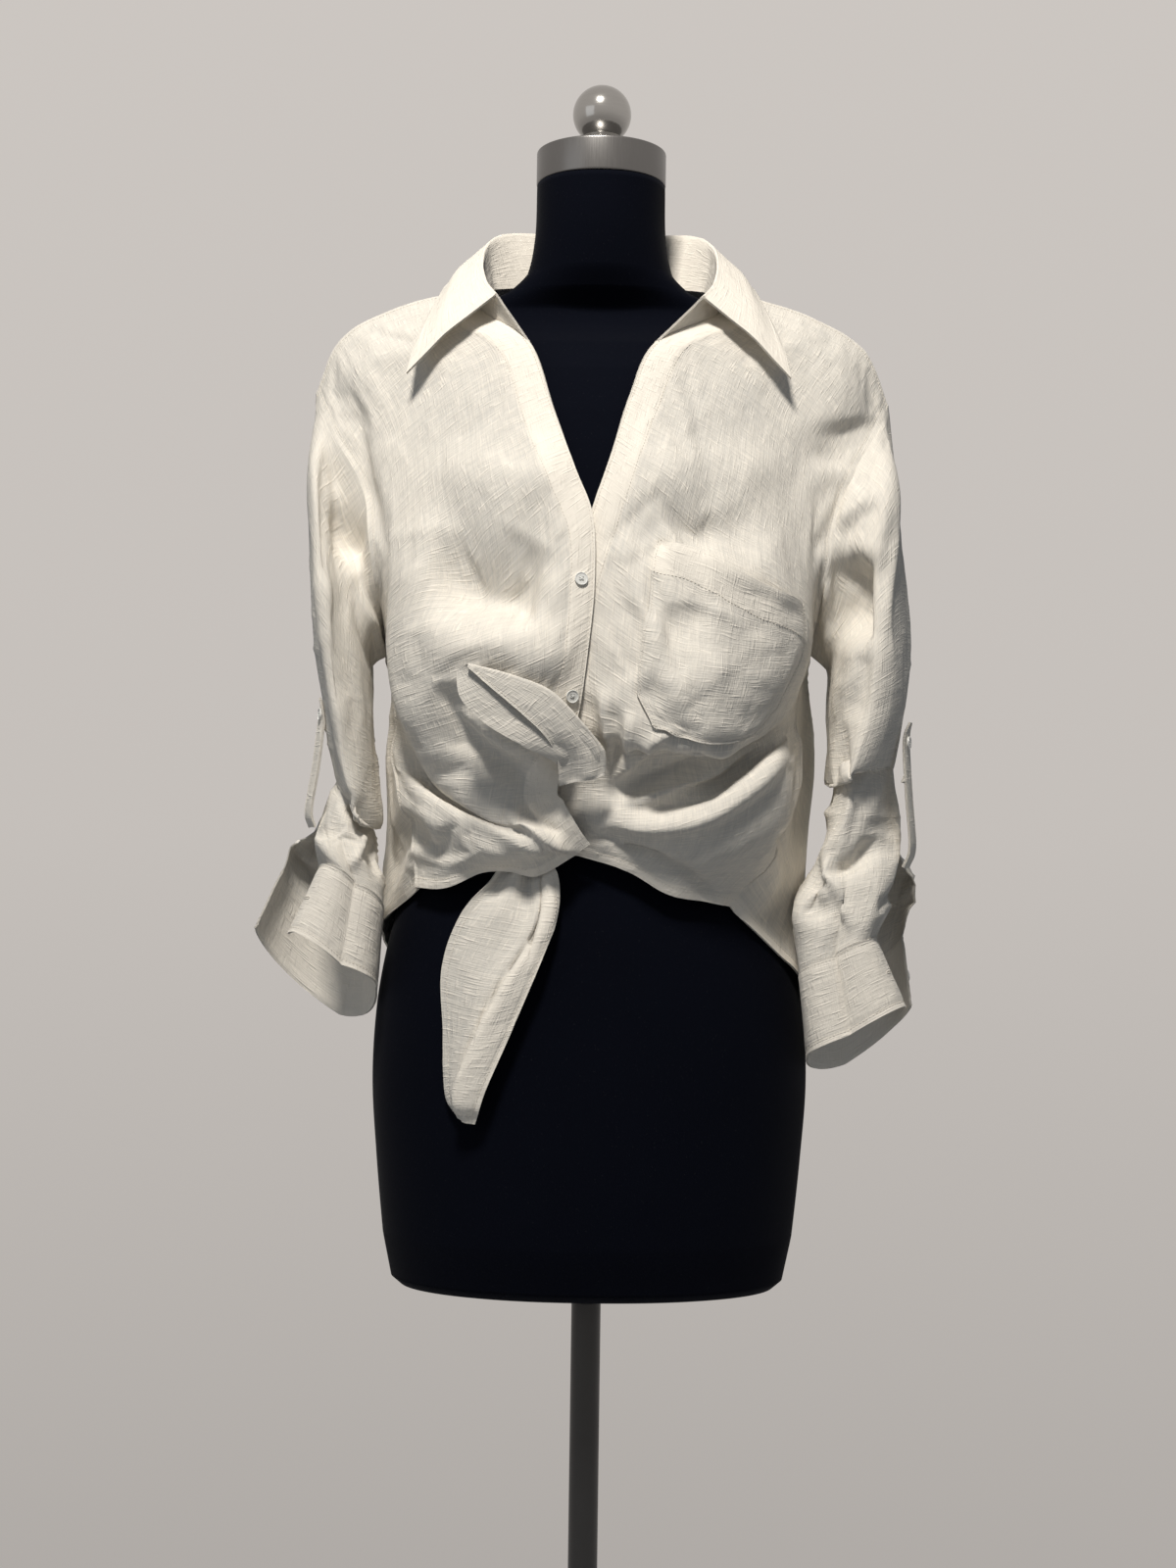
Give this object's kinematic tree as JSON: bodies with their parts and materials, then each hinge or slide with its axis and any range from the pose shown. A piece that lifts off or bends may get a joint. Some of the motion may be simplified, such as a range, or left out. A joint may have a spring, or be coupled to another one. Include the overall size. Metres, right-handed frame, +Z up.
{
  "type": "linen shirt on a dress form",
  "caption": "Long-sleeved linen shirt with a pointed collar and a patch pocket, its fronts tied in a knot at the waist, worn on a limbless dress form on a pole stand.",
  "frame": {"origin": "centre of the base's underside, on the floor under the pole", "axes": "+X to the wearer's left, +Y to the wearer's back, +Z up along the pole"},
  "size_m": [0.5163, 0.4, 1.5483],
  "materials": {
    "linen": "ivory plain-weave linen, matt",
    "jersey": "black stretch jersey, matt",
    "brushed_metal": "brushed, satin",
    "polished_metal": "polished",
    "black_paint": "satin black paint",
    "pearl": "pearly, glossy"
  },
  "bodies": {
    "root": {"base": "black_paint", "pole": "black_paint", "pole_collar": "brushed_metal", "form_torso": "jersey", "neck_ring": "brushed_metal", "finial": "polished_metal", "front_right": "linen", "front_left": "linen", "back": "linen", "collar": "linen", "sleeve_right": "linen", "sleeve_left": "linen", "cuff_right": "linen", "cuff_left": "linen", "pocket": "linen", "tie_end_right": "linen", "tie_end_left": "linen", "tab_right": "linen", "tab_left": "linen", "front_button_1": "pearl", "front_button_2": "pearl", "tab_button_right": "pearl", "tab_button_left": "pearl", "cuff_button_right": "pearl", "cuff_button_left": "pearl"}
  },
  "joints": []
}
